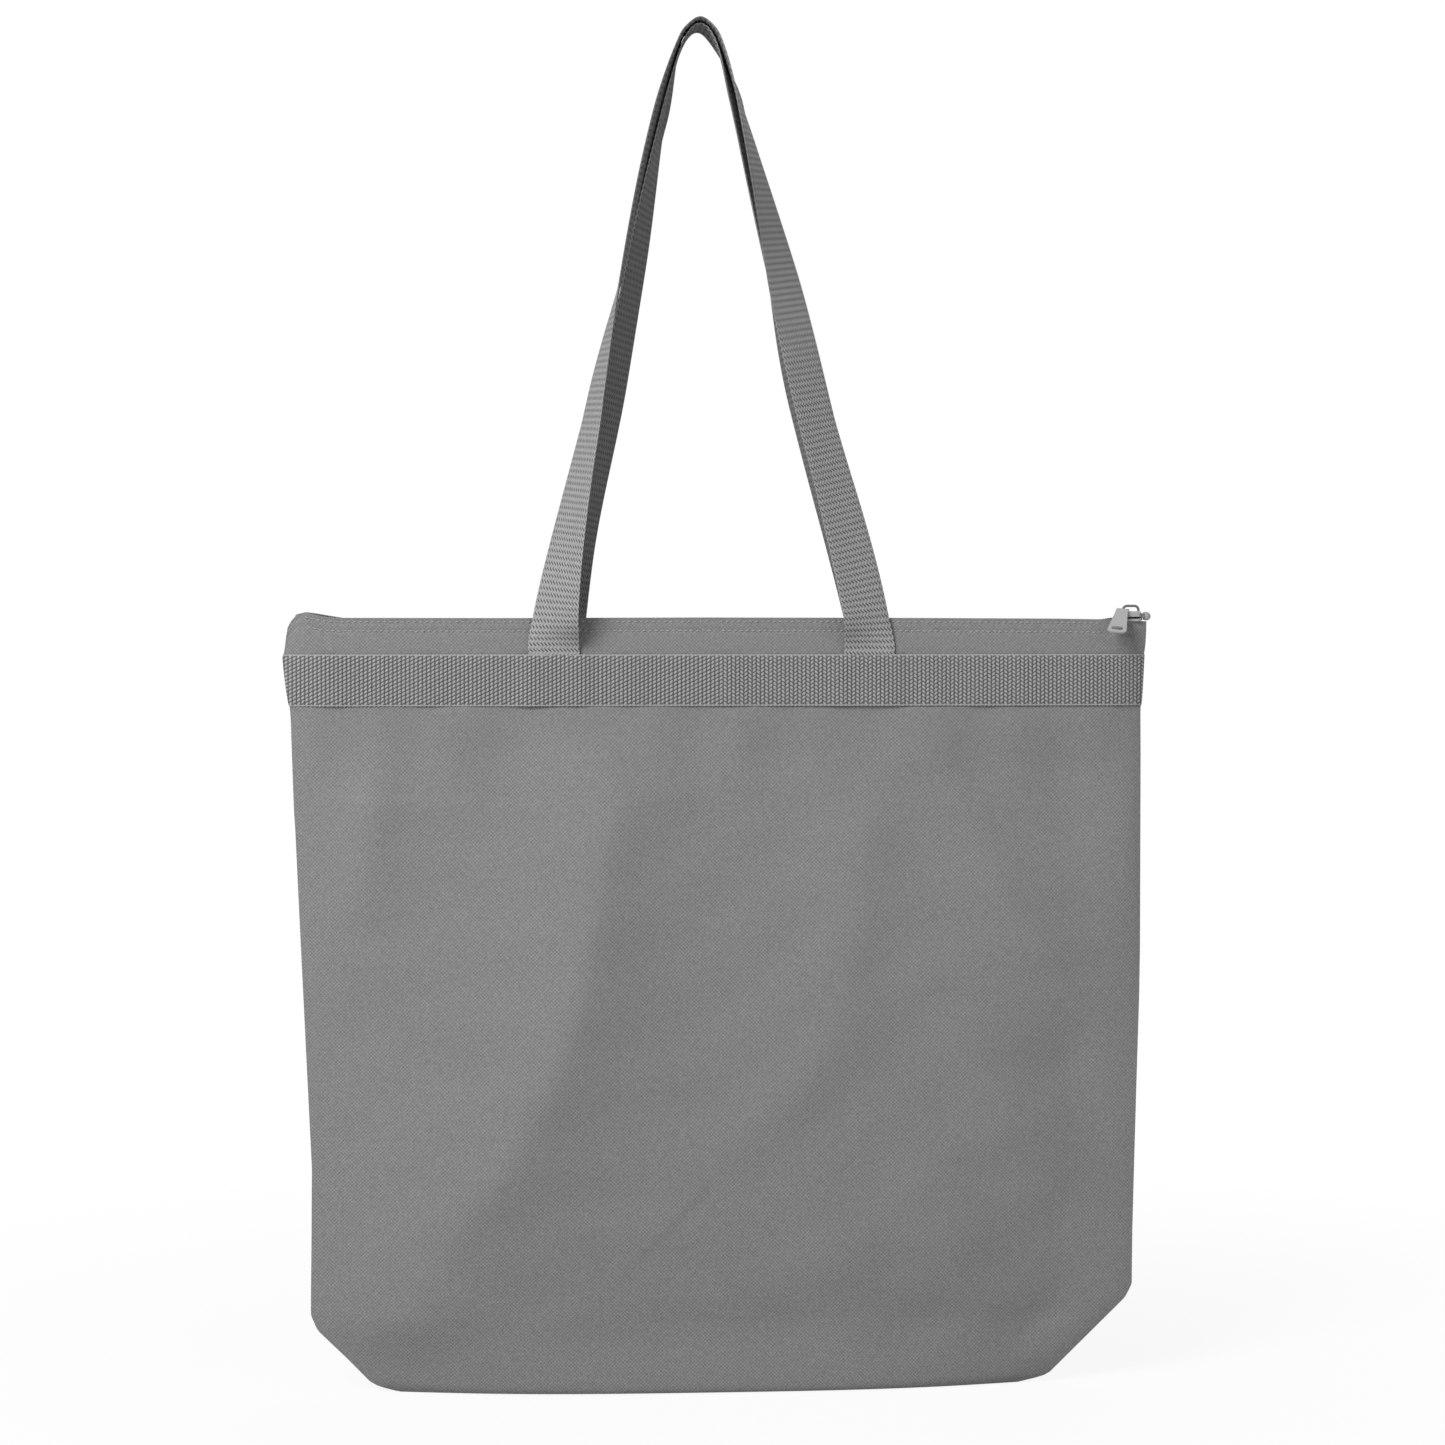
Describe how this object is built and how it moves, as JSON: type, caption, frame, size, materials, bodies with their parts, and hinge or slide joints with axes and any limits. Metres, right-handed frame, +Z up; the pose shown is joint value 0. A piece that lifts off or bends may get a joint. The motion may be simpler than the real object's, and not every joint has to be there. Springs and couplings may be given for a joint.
{
  "type": "zip-top tote bag",
  "caption": "Wide soft zip-top tote in woven polyester with cut base corners, a webbing band round the mouth and long webbing handles that swing down on both faces.",
  "frame": {"origin": "on the ground under the middle of the base", "axes": "+X to the bag's right as seen from the front, +Y towards its back, +Z up"},
  "size_m": [0.5121, 0.0664, 0.807],
  "materials": {
    "body_cloth": "mid grey coated oxford weave, matt",
    "binding_tape": "mid grey seam tape, matt",
    "webbing": "mid grey ribbed webbing, matt",
    "zip_tape": "dark grey zip tape, matt",
    "zip_coil": "dark grey coil, satin",
    "zip_metal": "light grey enamel on die-cast metal",
    "thread": "mid grey sewing thread"
  },
  "bodies": {
    "bag_body": {"back_panel": "body_cloth", "bottom_panel": "body_cloth", "front_panel_edges": "body_cloth", "left_side_binding": "binding_tape", "right_side_binding": "binding_tape", "left_corner_binding": "binding_tape", "right_corner_binding": "binding_tape", "front_band_ends": "webbing", "back_band": "webbing", "back_handle_feet": "webbing", "back_zip_tape": "zip_tape", "back_zip_coil": "zip_coil", "left_zip_end": "zip_coil", "right_zip_end": "zip_coil", "zip_top_stops": "zip_metal", "zip_bottom_stop": "zip_metal", "back_hem_stitching": "thread"},
    "mouth_front": {"front_panel": "body_cloth", "front_band": "webbing", "front_handle_feet": "webbing", "front_zip_tape": "zip_tape", "front_zip_coil": "zip_coil", "front_hem_stitching": "thread"},
    "front_loop": {"front_handle": "webbing"},
    "back_loop": {"back_handle": "webbing"},
    "zip_slider": {"slider_body": "zip_metal", "slider_bridge": "zip_metal"},
    "zip_pull": {"pull_tab": "zip_metal"}
  },
  "joints": [
    {"name": "mouth_open", "type": "hinge", "parent": "bag_body", "child": "mouth_front", "pos_m": [0, -0.0205, 0.0013], "axis": [1, 0, 0], "range_deg": [0, 8]},
    {"name": "front_handle_swing", "type": "hinge", "parent": "mouth_front", "child": "front_loop", "pos_m": [0, -0.01095, 0.4354], "axis": [1, 0, 0], "range_deg": [0, 148]},
    {"name": "back_handle_swing", "type": "hinge", "parent": "bag_body", "child": "back_loop", "pos_m": [0, 0.01095, 0.4354], "axis": [-1, 0, 0], "range_deg": [0, 138]},
    {"name": "zip_slide", "type": "slide", "parent": "bag_body", "child": "zip_slider", "axis": [-1, 0, 0], "range_m": [0, 0.117]},
    {"name": "pull_lift", "type": "hinge", "parent": "zip_slider", "child": "zip_pull", "pos_m": [0.242, 0.0018, 0.46145], "axis": [-0.9781, 0.2079, 0], "range_deg": [0, 24]}
  ]
}
